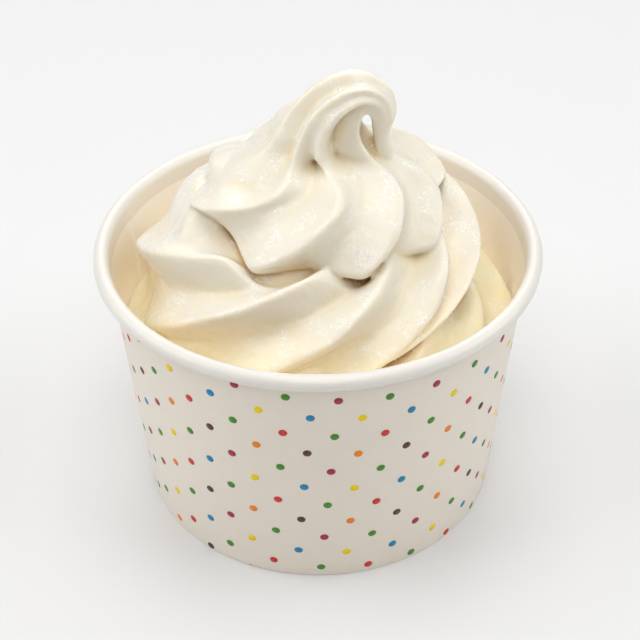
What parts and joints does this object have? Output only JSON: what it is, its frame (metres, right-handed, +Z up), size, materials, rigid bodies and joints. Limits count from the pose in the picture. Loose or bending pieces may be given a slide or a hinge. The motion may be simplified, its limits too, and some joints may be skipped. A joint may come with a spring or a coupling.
{
  "type": "frozen yogurt cup",
  "caption": "Round tapered paper cup with a rolled rim and a dotted print, filled with a tall fluted soft-serve frozen yogurt swirl that ends in a curled tip.",
  "frame": {"origin": "centre of the cup's foot ring, on the surface it stands on", "axes": "+Z up along the cup's axis, -Y toward the side that the picture shows, +X to the right seen from there, the way the curled tip leans"},
  "size_m": [0.095, 0.095, 0.1017],
  "materials": {
    "paper": "smooth coated white board",
    "yogurt": "cream soft serve, slightly glossy with a fine icy grain"
  },
  "bodies": {
    "root": {"cup_wall": "paper", "cup_base": "paper", "frozen_yogurt": "yogurt"}
  },
  "joints": []
}
